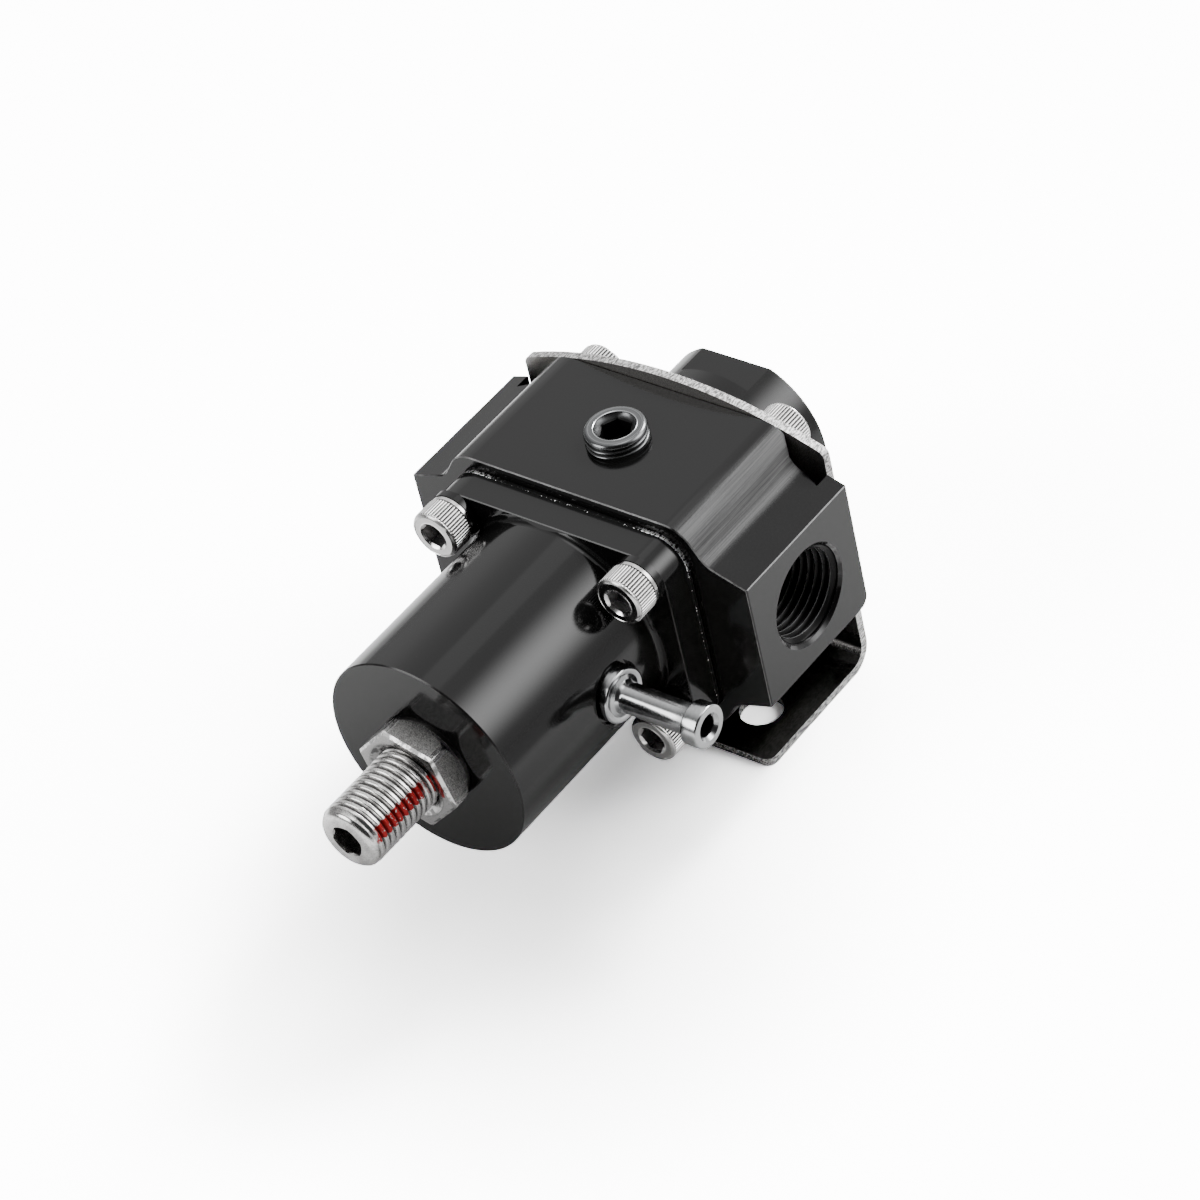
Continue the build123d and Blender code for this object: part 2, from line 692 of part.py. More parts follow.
pieces = {
    "regulator_body": make_body(),
    "spring_cap": make_cap(),
    "diaphragm": make_diaphragm(),
    "bracket": make_bracket(),
    "gauge_plug": make_plug(),
    "hose_barb": make_barb(),
    "rear_cap": make_rear_cap(),
    "rear_cap_seal": sealing_ring(spigot_radius - seal_section / 2, seal_section, rear_seal_y),
    "valve_seat": make_seat(),
    "seat_seal": sealing_ring(seat_seal_radius, seal_section, seat_seal_y),
    "main_spring": make_spring(),
    "spring_button": make_button(),
    "thrust_ball": Pos(0, thrust_ball_centre, 0) * Sphere(thrust_ball_radius),
    "adjusting_screw": make_adjuster(),
    "jam_nut": make_jam_nut(),
    "thread_seal": sealing_ring(thread_seal_radius, seal_section, cap_front - seal_section / 2),
    "spring_cup": make_cup(),
    "diaphragm_plate": make_rear_plate(),
    "valve_stem": make_stem(),
    "stem_nut": make_stem_nut(),
    "valve_ball": Pos(0, ball_centre, 0) * Sphere(ball_radius),
}
front_screw = socket_screw(cap_screw_length)
rear_screw = Rot(0, 0, 180) * socket_screw(bracket_screw_length)
for number, (x, z) in enumerate(screw_places, start=1):
    pieces[f"cap_screw_{number}"] = Pos(x, screw_seat, z) * front_screw
    pieces[f"cap_washer_{number}"] = spring_washer(x, z)
    pieces[f"bracket_screw_{number}"] = Pos(x, plate_rear, z) * rear_screw

os.makedirs("parts", exist_ok=True)
to_foot = Location((0, -foot_hole_y, axis_height))
for name, piece in pieces.items():
    export_step(to_foot * piece, f"parts/{name}.step")
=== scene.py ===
# Fuel pressure regulator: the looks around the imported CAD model
import math

import bmesh
import bpy
import numpy as np
from mathutils import Matrix, Vector


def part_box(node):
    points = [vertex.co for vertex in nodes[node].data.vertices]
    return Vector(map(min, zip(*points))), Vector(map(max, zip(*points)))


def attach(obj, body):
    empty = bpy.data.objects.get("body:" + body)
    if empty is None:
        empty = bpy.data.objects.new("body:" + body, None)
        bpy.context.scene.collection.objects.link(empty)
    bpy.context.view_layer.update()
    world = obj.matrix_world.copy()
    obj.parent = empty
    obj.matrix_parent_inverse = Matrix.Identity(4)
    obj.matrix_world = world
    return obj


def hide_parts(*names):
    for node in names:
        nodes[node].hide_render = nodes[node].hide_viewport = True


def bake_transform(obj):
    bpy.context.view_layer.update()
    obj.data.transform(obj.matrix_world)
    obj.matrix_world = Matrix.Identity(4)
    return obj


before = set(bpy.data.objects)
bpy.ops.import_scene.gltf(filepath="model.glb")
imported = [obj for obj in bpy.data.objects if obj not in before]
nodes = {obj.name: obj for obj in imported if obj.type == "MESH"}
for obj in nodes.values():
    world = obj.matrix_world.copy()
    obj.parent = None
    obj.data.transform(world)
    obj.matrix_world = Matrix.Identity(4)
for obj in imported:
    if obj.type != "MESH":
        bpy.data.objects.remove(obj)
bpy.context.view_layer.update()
mm = 0.001
fullTurn = 2 * math.pi
axisHeight = 0.027
bodyFront = -0.0097
portY = 3.9 * mm
portFace = 32.8 * mm
creaseAngle = math.radians(35.0)


# node helpers, used by the shaders and by the geometry trees
class Wire:
    # one output socket, so that node maths reads as plain sums
    def __init__(self, graph, socket):
        self.graph = graph
        self.socket = socket

    def __add__(self, other):
        return self.graph.maths("ADD", self, other)

    def __radd__(self, other):
        return self.graph.maths("ADD", other, self)

    def __sub__(self, other):
        return self.graph.maths("SUBTRACT", self, other)

    def __rsub__(self, other):
        return self.graph.maths("SUBTRACT", other, self)

    def __mul__(self, other):
        return self.graph.maths("MULTIPLY", self, other)

    def __truediv__(self, other):
        return self.graph.maths("DIVIDE", self, other)


class Graph:
    # a node tree, and short ways to add nodes and sums to it
    def __init__(self, tree):
        self.tree = tree

    def node(self, kind, settings=None, values=None):
        made = self.tree.nodes.new(kind)
        for key, value in (settings or {}).items():
            setattr(made, key, value)
        for key, value in (values or {}).items():
            if isinstance(value, Wire):
                self.tree.links.new(value.socket, made.inputs[key])
            else:
                made.inputs[key].default_value = value
        return made

    def wire(self, kind, settings=None, values=None, output=0):
        return Wire(self, self.node(kind, settings, values).outputs[output])

    def axes(self, vector):
        split = self.node("ShaderNodeSeparateXYZ", None, {0: vector})
        return [Wire(self, split.outputs[i]) for i in range(3)]

    def maths(self, operation, first, second=0.0, clamp=False):
        settings = {"operation": operation, "use_clamp": clamp}
        return self.wire("ShaderNodeMath", settings, {0: first, 1: second})

    def clamp(self, value):
        return self.maths("ADD", value, 0.0, True)

    def absolute(self, value):
        return self.maths("ABSOLUTE", value)

    def larger(self, first, second):
        return self.maths("MAXIMUM", first, second)

    def hypotenuse(self, first, second):
        return self.maths("SQRT", first * first + second * second)

    def ramp(self, value, low, high):
        # 0 at low, 1 at high, smooth between
        values = {"Value": value, "From Min": low, "From Max": high}
        return self.wire("ShaderNodeMapRange", {"interpolation_type": "SMOOTHSTEP"}, values)

    def band(self, value, low, high, soft):
        # 1 from low to high, 0 outside, smooth at both ends
        return self.ramp(value, low - soft, low + soft) * self.ramp(value, high + soft, high - soft)

    def mix(self, factor, first, second):
        values = {0: factor, 6: first, 7: second}
        return self.wire("ShaderNodeMix", {"data_type": "RGBA"}, values, 2)


class Paint(Graph):
    # one material: a principled shader and the nodes that feed it
    def __init__(self, name, **fixed):
        self.material = bpy.data.materials.new(name)
        self.material.use_nodes = True
        super().__init__(self.material.node_tree)
        self.shader = next(n for n in self.tree.nodes if n.type == "BSDF_PRINCIPLED")
        for key, value in fixed.items():
            self.shader.inputs[key.replace("_", " ")].default_value = value
        self.place = self.wire("ShaderNodeTexCoord", output=3)
        self.facing = self.wire("ShaderNodeTexCoord", output=1)

    def feed(self, name, value):
        self.tree.links.new(value.socket, self.shader.inputs[name])

    def roundAxis(self):
        # how far a point is from the spring axis, and its angle round it in degrees
        x, y, z = self.axes(self.place)
        up = z - axisHeight
        return self.hypotenuse(x, up), self.maths("ARCTAN2", up, x) * (360 / fullTurn)

    def noise(self, scale, detail=3.0, stretch=(1, 1, 1), rough=0.55, vector=None):
        vector = vector or self.wire("ShaderNodeMapping", None,
                                     {"Vector": self.place, "Scale": stretch})
        values = {"Vector": vector, "Scale": scale, "Detail": detail, "Roughness": rough}
        return self.wire("ShaderNodeTexNoise", None, values)

    def attribute(self, name):
        return self.wire("ShaderNodeAttribute", {"attribute_name": name}, output=2)

    def bump(self, height, strength, distance):
        values = {"Height": height, "Strength": strength, "Distance": distance}
        self.feed("Normal", self.wire("ShaderNodeBump", None, values))


def grey(level, warm=0.0):
    return (level * (1 + warm), level, level * (1 - warm), 1.0)


# black anodising: wear and painted highlight where a chamfer or a thread's crest catches,
# brushed along one flank, whose colour is lifted there as a painted sheen
anodised = {
    "base": 0.003, "smooth": 0.12, "gloss": 0.28, "threadGloss": 0.08, "threadRough": 0.1,
    "cloudGrain": 90.0, "fineGrain": 3500.0, "streakGrain": 3200.0, "patchGrain": 130.0,
    "chipGrain": 500.0, "flankFrom": 21.2 * mm, "flankTo": 25.8 * mm, "flankSoft": 1.2 * mm,
    "flankRough": 0.42, "brushed": 0.09, "cornerFrom": 32.62 * mm, "cornerTo": 32.68 * mm,
    "mouthFrom": 9.4 * mm, "mouthTo": 9.8 * mm,
    "wearAndGlint": {"turned": 0.01, "milled": 0.2, "thread": 0.12}}


def anodisedFinish(name, kind="turned"):
    gloss = anodised["threadGloss" if kind == "thread" else "gloss"]
    paint = Paint(name, Specular_IOR_Level=gloss)
    x, y, z = paint.axes(paint.place)
    nx, ny = paint.axes(paint.facing)[:2]
    cloud = paint.noise(anodised["cloudGrain"], 4.0)
    fine = paint.noise(anodised["fineGrain"], 2.0)
    streak = paint.noise(anodised["streakGrain"], 4.0, (1, 0.015, 1), 0.7)
    rough = anodised["smooth"] + (cloud - 0.5) * 0.06 + (fine - 0.5) * 0.05
    height = fine * 0.25 + streak * 0.35
    # small chamfers lean halfway between two faces, and their wear and painted highlight are patchy
    lean = paint.absolute(ny)
    patchy = paint.ramp(paint.noise(anodised["patchGrain"]), 0.34, 0.56)
    edge = paint.band(lean, 0.6, 0.8, 0.04) * patchy
    base = grey(anodised["base"])
    if kind == "milled":
        # the right flank keeps the cutter's streaks along the spring axis in roughness and bumps,
        # and its colour is lifted there as a painted sheen, on this side only
        flank = paint.band(x, anodised["flankFrom"], anodised["flankTo"], anodised["flankSoft"])
        flank = flank * paint.ramp(lean, 0.4, 0.2)
        rougher = anodised["flankRough"] - anodised["smooth"]
        rough = rough + flank * (rougher + (streak - 0.5) * 0.4)
        height = height + flank * streak * 6.0
        base = paint.mix(flank * paint.ramp(streak, 0.2, 0.8), base, grey(anodised["brushed"]))
        # the port face's corners show wear and a painted highlight, but not the port's own rim
        sideways = paint.band(paint.absolute(nx), 0.55, 0.85, 0.04)
        corner = paint.ramp(paint.absolute(x), anodised["cornerFrom"], anodised["cornerTo"])
        fromPort = paint.hypotenuse(y - portY, z - axisHeight)
        corner = corner * paint.ramp(fromPort, anodised["mouthFrom"], anodised["mouthTo"])
        edge = paint.larger(edge * 0.7, sideways * corner)
    if kind == "thread":
        # the thread's crests are lighter: wear and a painted highlight
        edge = paint.ramp(paint.attribute("groove"), 0.86, 0.97)
        rough = rough + anodised["threadRough"]
    wearAndGlint = paint.clamp(edge * paint.ramp(paint.noise(anodised["chipGrain"]), 0.1, 0.6))
    paint.feed("Base Color", paint.mix(wearAndGlint, base, grey(anodised["wearAndGlint"][kind])))
    paint.feed("Roughness", paint.clamp(rough + wearAndGlint * 0.1))
    paint.bump(height, 0.1, 0.01 * mm)
    return paint.material


# bright metal, dark and dull as painted shade where a ridge or a thread was cut into it
# or a row is marked dark, polished with a painted highlight where a row is marked below 0
steel = {"polishAndGlint": 0.8, "grooveShade": 0.03, "bump": 0.02 * mm}


def steelFinish(name, level, warm, smooth, spread=0.12, grain=4000.0, dent=0.15, blotch=0.15):
    paint = Paint(name)
    coarse = paint.noise(grain * 0.1, 4.0)
    fine = paint.noise(grain)
    groove = paint.attribute("groove")
    grooveShade = paint.ramp(groove, 0.15, 0.75)
    polishAndGlint = paint.ramp(groove, -0.05, -0.6)
    tone = paint.clamp(coarse * 0.6 + fine * 0.4)
    metal = paint.mix(tone, grey(level * (1 - blotch), warm), grey(level * (1 + blotch), warm))
    metal = paint.mix(polishAndGlint, metal, grey(steel["polishAndGlint"], warm))
    paint.feed("Base Color", paint.mix(grooveShade, metal, grey(level * steel["grooveShade"], warm)))
    paint.feed("Metallic", 1.0 - grooveShade * 0.2)
    rough = smooth + (fine - 0.5) * spread + (coarse - 0.5) * spread + grooveShade * 0.25
    paint.feed("Roughness", paint.clamp(rough))
    paint.bump(fine, dent, steel["bump"])
    return paint.material


# stainless thread with the red witness mark that runs along it, angles in degrees
stripe = {"angle": 20.0, "halfWidth": 13.0, "soft": 1.0, "wander": 9.0, "from": -69.4 * mm,
          "to": -58.4 * mm, "ragged": 2.5 * mm, "inner": 4.6 * mm, "chipGrain": 2200.0,
          "metalness": 0.6, "red": (0.24, 0.0, 0.0005, 1.0), "darkRed": (0.04, 0.0, 0.0, 1.0)}
threadMetal = {"low": 0.36, "high": 0.72, "grooveShade": 0.084, "smooth": 0.17, "grain": 4000.0}


def paintedSteel(name):
    paint = Paint(name)
    y = paint.axes(paint.place)[1]
    radius, turn = paint.roundAxis()
    wander = (paint.noise(900.0, 4.0) - 0.5) * stripe["wander"]
    off = paint.absolute(turn - stripe["angle"] + wander)
    mark = paint.ramp(off, stripe["halfWidth"] + stripe["soft"],
                      stripe["halfWidth"] - stripe["soft"])
    ragged = y + (paint.noise(500.0) - 0.5) * stripe["ragged"]
    mark = mark * paint.band(ragged, stripe["from"], stripe["to"], 0.2 * mm)
    mark = mark * paint.ramp(radius, stripe["inner"] - 0.1 * mm, stripe["inner"] + 0.1 * mm)
    # the mark has come off in chips on the crests
    groove = paint.attribute("groove")
    chipped = paint.ramp(paint.noise(stripe["chipGrain"]), 0.6, 0.66)
    chipped = chipped * paint.ramp(groove, 0.25, 0.05)
    mark = paint.clamp(mark * (1.0 - chipped))
    coarse = paint.noise(threadMetal["grain"] * 0.1, 4.0)
    fine = paint.noise(threadMetal["grain"])
    # painted shade in the thread's roots, on the bare metal and on the red
    grooveShade = paint.ramp(groove, 0.3, 0.9)
    metal = paint.mix(paint.ramp(coarse * 0.5 + fine * 0.5, 0.36, 0.64),
                      grey(threadMetal["low"], 0.015), grey(threadMetal["high"], 0.015))
    metal = paint.mix(grooveShade, metal, grey(threadMetal["grooveShade"], 0.01))
    red = paint.mix(grooveShade * 0.7, stripe["red"], stripe["darkRed"])
    paint.feed("Base Color", paint.mix(mark, metal, red))
    paint.feed("Metallic", 1.0 - mark * (1.0 - stripe["metalness"]))
    rough = threadMetal["smooth"] + (fine - 0.5) * 0.16 + grooveShade * 0.15 + mark * 0.2
    paint.feed("Roughness", paint.clamp(rough))
    paint.bump(fine, 0.15, 0.02 * mm)
    return paint.material


# jam nut: turned faces across the axis, grainy dark flats, a red patch beside the thread,
# painted shade round the thread's mouth, painted highlights on the corners and chamfers
nutMark = {"from": -5.0, "to": 31.0, "wander": 10.0, "inner": 5.6 * mm, "outer": 7.4 * mm}
nutMetal = {"turned": (0.2, 0.5), "mouth": 0.12, "mouthFrom": 7.4 * mm, "mouthTo": 6.4 * mm,
            "rolled": (0.15, 0.45), "corner": 0.62, "cornerFrom": 8.85 * mm,
            "cornerTo": 9.0 * mm, "bevel": (0.12, 0.55), "smooth": 0.22, "grain": 6500.0}


def nutFinish(name):
    paint = Paint(name)
    ny = paint.axes(paint.facing)[1]
    radius, turn = paint.roundAxis()
    wander = (paint.noise(900.0) - 0.5) * nutMark["wander"]
    mark = paint.band(turn + wander, nutMark["from"], nutMark["to"], 1.0)
    ragged = radius + wander * (0.03 * mm)
    mark = mark * paint.band(ragged, nutMark["inner"], nutMark["outer"], 0.1 * mm)
    mark = mark * paint.ramp(ny, -0.5, -0.7)
    lean = paint.absolute(ny)
    flat = paint.ramp(lean, 0.5, 0.15)
    bevel = paint.band(lean, 0.3, 0.93, 0.05)
    # the edges between the flats are lighter, as a painted highlight
    corner = paint.ramp(radius, nutMetal["cornerFrom"], nutMetal["cornerTo"]) * flat
    grain = paint.noise(nutMetal["grain"], 2.0)
    soft = paint.noise(700.0)
    swirl = paint.wire("ShaderNodeCombineXYZ", None, {0: radius * 9.0, 1: turn * 0.0003})
    low, high = nutMetal["turned"]
    face = paint.mix(paint.noise(900.0, vector=swirl), grey(low, 0.012), grey(high, 0.012))
    # painted shade on the face round the thread's mouth
    face = paint.mix(paint.ramp(radius, nutMetal["mouthFrom"], nutMetal["mouthTo"]), face,
                     grey(nutMetal["mouth"], 0.01))
    low, high = nutMetal["rolled"]
    rolled = paint.mix(paint.ramp(grain, 0.36, 0.68), grey(low, 0.01), grey(high, 0.01))
    metal = paint.mix(flat, face, rolled)
    metal = paint.mix(corner * paint.ramp(soft, 0.15, 0.6), metal, grey(nutMetal["corner"], 0.01))
    # the chamfers are darker, with patchy painted highlights on them
    low, high = nutMetal["bevel"]
    metal = paint.mix(bevel, metal, grey(low, 0.01))
    metal = paint.mix(bevel * paint.ramp(soft, 0.4, 0.55), metal, grey(high, 0.01))
    paint.feed("Base Color", paint.mix(mark, metal, stripe["red"]))
    paint.feed("Metallic", 1.0 - mark * (1.0 - stripe["metalness"]))
    rough = nutMetal["smooth"] + (soft - 0.5) * 0.15 + (flat - corner) * 0.22
    paint.feed("Roughness", paint.clamp(rough))
    paint.bump(grain * (0.1 + flat), 0.5, 0.03 * mm)
    return paint.material


# polished sheet whose cut edges are granular, with a bright burr along each
sheetMetal = {"flat": (0.2, 0.3), "cut": (0.14, 0.7), "smooth": 0.12, "brushed": 0.1,
              "cutRough": 0.24, "uprightRough": 0.16, "topEdge": (30.0 * mm, 34.0 * mm),
              "footEdge": (4.0 * mm, 2.0 * mm), "upright": (4.0 * mm, 8.0 * mm)}


def bracketFinish(name):
    paint = Paint(name, Metallic=1.0)
    nx, ny, nz = paint.axes(paint.facing)
    z = paint.axes(paint.place)[2]
    upper = paint.ramp(z, *sheetMetal["topEdge"]) * paint.ramp(nz, 0.5, 0.8)
    ends = paint.ramp(paint.absolute(nx), 0.6, 0.9)
    front = paint.ramp(ny, -0.6, -0.9) * paint.ramp(z, *sheetMetal["footEdge"])
    cut = paint.larger(paint.larger(upper, ends), front)
    grain = paint.noise(4200.0, 3.0, (1, 0.35, 1))
    brush = paint.noise(900.0, 3.0, (0.04, 1, 1))
    burr = cut * paint.ramp(paint.noise(2500.0, 2.0), 0.5, 0.62)
    low = paint.mix(cut, grey(sheetMetal["flat"][0], 0.03), grey(sheetMetal["cut"][0], 0.01))
    high = paint.mix(cut, grey(sheetMetal["flat"][1], 0.03), grey(sheetMetal["cut"][1], 0.01))
    paint.feed("Base Color", paint.mix(paint.ramp(grain, 0.38, 0.62), low, high))
    upright = paint.ramp(z, *sheetMetal["upright"])
    rough = sheetMetal["smooth"] + brush * sheetMetal["brushed"] + cut * sheetMetal["cutRough"]
    paint.feed("Roughness", paint.clamp(rough + upright * sheetMetal["uprightRough"]))
    paint.bump(grain * cut + brush * 0.15 + burr * 0.5, 0.4, 0.03 * mm)
    return paint.material


# the diaphragm's cut edge: black rubber with loose silvery fibres, thicker at the corners
fibres = {"black": 0.004, "silver": 0.7, "grain": 3000.0, "needed": 0.64, "step": 0.03,
          "cornerAcross": (10.5 * mm, 18.5 * mm), "cornerUp": (36.0 * mm, 43.0 * mm),
          "frontFrom": bodyFront - 0.5 * mm, "frontTo": bodyFront - 0.68 * mm}


def sheetFinish(name):
    paint = Paint(name, Specular_IOR_Level=0.15)
    x, y, z = paint.axes(paint.place)
    fibre = paint.noise(fibres["grain"], 2.0, (1, 0.6, 1))
    patch = paint.noise(140.0, 2.0)
    corner = paint.ramp(paint.absolute(x), *fibres["cornerAcross"])
    corner = corner * paint.ramp(z, *fibres["cornerUp"])
    needed = fibres["needed"] - corner * 0.2 - (patch - 0.5) * 0.25
    # loose along the flange's side, across the whole edge at the corners
    front = paint.ramp(y, fibres["frontFrom"], fibres["frontTo"])
    speck = paint.ramp(fibre, needed, needed + fibres["step"]) * paint.larger(front, corner * 0.8)
    paint.feed("Base Color", paint.mix(speck, grey(fibres["black"]), grey(fibres["silver"])))
    paint.feed("Metallic", speck * 0.8)
    paint.feed("Roughness", 0.6 - speck * 0.3)
    paint.bump(fibre, 0.6, 0.06 * mm)
    return paint.material


def plainFinish(name, low, high, rough, grain, metallic=0.0):
    paint = Paint(name, Metallic=metallic)
    speck = paint.noise(grain, 4.0)
    paint.feed("Base Color", paint.mix(speck, low, high))
    paint.feed("Roughness", paint.clamp(rough + (speck - 0.5) * 0.15))
    paint.bump(speck, 0.2, 0.03 * mm)
    return paint.material


blackBody = anodisedFinish("blackBody", "milled")
blackCap = anodisedFinish("blackCap")
blackReturnCap = anodisedFinish("blackReturnCap")
blackThread = anodisedFinish("blackThread", "thread")
threadSteel = paintedSteel("threadSteel")
nutSteel = nutFinish("nutSteel")
screwSteel = steelFinish("screwSteel", 0.55, 0.01, 0.16, 0.08, 1500.0, blotch=0.3)
bracketSteel = bracketFinish("bracketSteel")
plugSteel = steelFinish("plugSteel", 0.13, -0.02, 0.22, 0.1)
brightZinc = steelFinish("brightZinc", 0.38, -0.01, 0.16, 0.12, 2500.0, dent=0.25, blotch=0.4)
innerAluminium = steelFinish("innerAluminium", 0.75, 0.0, 0.3)
springWire = steelFinish("springWire", 0.4, 0.0, 0.3)
ballSteel = steelFinish("ballSteel", 0.75, 0.0, 0.06, 0.04, dent=0.02)
seatBrass = plainFinish("seatBrass", (0.6, 0.42, 0.16, 1), (0.8, 0.6, 0.28, 1), 0.28, 300.0, 1.0)
sealRubber = plainFinish("sealRubber", grey(0.012), grey(0.03), 0.6, 700.0)
sheetEdge = sheetFinish("sheetEdge")
finishes = {
    "regulator_body": blackBody, "spring_cap": blackCap, "rear_cap": blackReturnCap,
    "diaphragm": sheetEdge, "bracket": bracketSteel, "gauge_plug": plugSteel,
    "hose_barb": brightZinc, "jam_nut": nutSteel, "adjusting_screw": threadSteel,
    "rear_cap_seal": sealRubber, "seat_seal": sealRubber, "thread_seal": sealRubber,
    "valve_seat": seatBrass, "main_spring": springWire, "thrust_ball": ballSteel,
    "valve_ball": ballSteel, "spring_button": innerAluminium, "spring_cup": innerAluminium,
    "diaphragm_plate": innerAluminium, "valve_stem": screwSteel, "stem_nut": screwSteel,
}
finishes.update({f"cap_washer_{i}": blackCap for i in range(1, 5)})
for nodeName, node in nodes.items():
    node.data.materials.clear()
    node.data.materials.append(finishes.get(nodeName, screwSteel))
print("finishes on", len(nodes), "nodes")


def placed(name, data):
    # a new object in the scene
    piece = bpy.data.objects.new(name, data)
    bpy.context.scene.collection.objects.link(piece)
    return piece


def creased(shape):
    # rounds the faces' shading and keeps sharp edges sharp
    for face in shape.faces:
        face.smooth = True
    for edge in shape.edges:
        if len(edge.link_faces) == 2:
            edge.smooth = edge.calc_face_angle() <= creaseAngle


def hexagonRadii(acrossFlats, angles, turn=0.0):
    # how far a hexagon's sides are from its middle at each angle
    sixth = fullTurn / 6
    local = (angles - turn) % sixth - sixth / 2
    return acrossFlats / 2 / np.cos(local)


def quarterRound(radius, end, size, along, steps=5):
    # from a flat end to the side wall, which runs on along +y or -y
    arc = []
    for step in range(steps + 1):
        a = step / steps * math.pi / 2
        arc.append((radius - size * (1 - math.sin(a)), end + along * size * (1 - math.cos(a))))
    return arc


def turnedMesh(name, rows, around):
    # rows of (radius, y) about the Y axis: a radius may be one value per angle, and a third
    # number is painted shade there, dark and dull, or below 0 polish with a painted highlight
    angles = np.arange(around) * fullTurn / around
    shape = bmesh.new()
    rings, shades = [], []
    for radius, y, *shade in rows:
        isPoint = np.ndim(radius) == 0 and radius < 1e-9
        shades += [shade[0] if shade else 0.0] * (1 if isPoint else around)
        if isPoint:
            rings.append([shape.verts.new((0, y, 0))])
            continue
        radii = radius * np.ones(around)
        rings.append([shape.verts.new((r * math.cos(a), y, r * math.sin(a)))
                      for r, a in zip(radii, angles)])
    for lower, upper in zip(rings, rings[1:]):
        for i in range(around):
            j = (i + 1) % around
            corners = [lower[i % len(lower)], lower[j % len(lower)],
                       upper[j % len(upper)], upper[i % len(upper)]]
            shape.faces.new(list(dict.fromkeys(corners)))
    bmesh.ops.recalc_face_normals(shape, faces=shape.faces)
    creased(shape)
    mesh = bpy.data.meshes.new(name)
    shape.to_mesh(mesh)
    shape.free()
    mesh.attributes.new("groove", "FLOAT", "POINT").data.foreach_set("value", shades)
    return placed(name, mesh)


def newTree(name, sizes):
    # a geometry tree with a geometry socket, then one named input for each size
    tree = bpy.data.node_groups.new(name, "GeometryNodeTree")
    tree.interface.new_socket("Geometry", in_out="INPUT", socket_type="NodeSocketGeometry")
    for size, (kind, start) in sizes.items():
        socket = tree.interface.new_socket(size, in_out="INPUT", socket_type="NodeSocket" + kind)
        if start is not None:
            socket.default_value = start
    tree.interface.new_socket("Geometry", in_out="OUTPUT", socket_type="NodeSocketGeometry")
    graph = Graph(tree)
    given = graph.node("NodeGroupInput")
    return graph, {s.name: Wire(graph, s) for s in given.outputs if s.name}


def closeTree(graph, geometry, material):
    whole = graph.wire("GeometryNodeRealizeInstances", None, {0: geometry})
    done = graph.wire("GeometryNodeSetMaterial", None, {"Geometry": whole, "Material": material})
    graph.node("NodeGroupOutput", None, {0: done})
    return graph.tree


def runTree(piece, tree, values, place=Matrix.Identity(4), name=None):
    # runs the tree on the piece and keeps its result as a plain mesh in the row frame
    modifier = piece.modifiers.new("shape", "NODES")
    modifier.node_group = tree
    for item in tree.interface.items_tree:
        if item.in_out == "INPUT" and item.name in values:
            modifier[item.identifier] = values[item.name]
    bpy.context.view_layer.update()
    deps = bpy.context.evaluated_depsgraph_get()
    mesh = bpy.data.meshes.new_from_object(piece.evaluated_get(deps),
                                           preserve_all_data_layers=True, depsgraph=deps)
    piece.modifiers.remove(modifier)
    mesh.transform(place)
    name = name or piece.name
    mesh.name = name
    bpy.data.objects.remove(piece)
    return placed(name, mesh)


def ridgeTree():
    # cuts ridges into a turned piece: straight ones round it, or a thread where they climb
    graph, size = newTree("ridgeTree", {
        "Ridges Around": ("Float", 1.0), "Ridges Per Metre": ("Float", 0.0),
        "Depth": ("Float", 0.5 * mm), "Crest": ("Float", 0.1), "Root": ("Float", 0.1),
        "Start": ("Float", 0.0), "End": ("Float", 10.0 * mm), "Fade": ("Float", 0.5 * mm),
        "Keep Inside": ("Float", 0.0), "Material": ("Material", None)})
    x, y, z = graph.axes(graph.wire("GeometryNodeInputPosition"))
    turn = graph.maths("ARCTAN2", z, x) / fullTurn
    climb = turn * size["Ridges Around"] + y * size["Ridges Per Metre"]
    phase = graph.maths("FRACT", climb)
    slope = 1.0 - graph.absolute(phase * 2.0 - 1.0)
    crest = graph.clamp((slope - size["Root"]) / (1.0 - size["Root"] - size["Crest"]))
    fade = graph.clamp((y - size["Start"]) / size["Fade"])
    fade = fade * graph.clamp((size["End"] - y) / size["Fade"])
    radius = graph.hypotenuse(x, z)
    outside = graph.maths("GREATER_THAN", radius, size["Keep Inside"])
    cut = (1.0 - crest) * fade * outside
    factor = 1.0 - size["Depth"] * cut / graph.larger(radius, 1e-6)
    moved = graph.wire("ShaderNodeCombineXYZ", None, {0: x * factor, 1: y, 2: z * factor})
    # the cut is kept as groove: painted shade in steel roots, wear and painted highlight on crests
    before = graph.wire("GeometryNodeInputNamedAttribute", {"data_type": "FLOAT"},
                        {"Name": "groove"}, "Attribute")
    marked = graph.wire("GeometryNodeStoreNamedAttribute",
                        {"data_type": "FLOAT", "domain": "POINT"},
                        {"Geometry": size["Geometry"], "Name": "groove",
                         "Value": before + cut})
    geometry = graph.wire("GeometryNodeSetPosition", None,
                          {"Geometry": marked, "Position": moved})
    return closeTree(graph, geometry, size["Material"])


def cornerTree():
    # one copy at each corner of a rectangle across the Y axis, each turned by its own amount
    graph, size = newTree("cornerTree", {
        "Half Width": ("Float", 18.0 * mm), "Half Height": ("Float", 14.4 * mm),
        "Seed": ("Int", 3), "Material": ("Material", None)})
    values = {"Size X": size["Half Width"] * 2.0, "Size Y": size["Half Height"] * 2.0,
              "Vertices X": 2, "Vertices Y": 2}
    grid = graph.wire("GeometryNodeMeshGrid", None, values)
    upright = graph.wire("GeometryNodeTransform", None,
                         {"Geometry": grid, "Rotation": (math.pi / 2, 0, 0)})
    turn = graph.wire("FunctionNodeRandomValue", {"data_type": "FLOAT"},
                      {2: 0.0, 3: fullTurn, "Seed": size["Seed"]}, 1)
    spin = graph.wire("ShaderNodeCombineXYZ", None, {1: turn})
    copies = graph.wire("GeometryNodeInstanceOnPoints", None,
                        {"Points": upright, "Instance": size["Geometry"], "Rotation": spin})
    return closeTree(graph, copies, size["Material"])


ridges = ridgeTree()
corners = cornerTree()


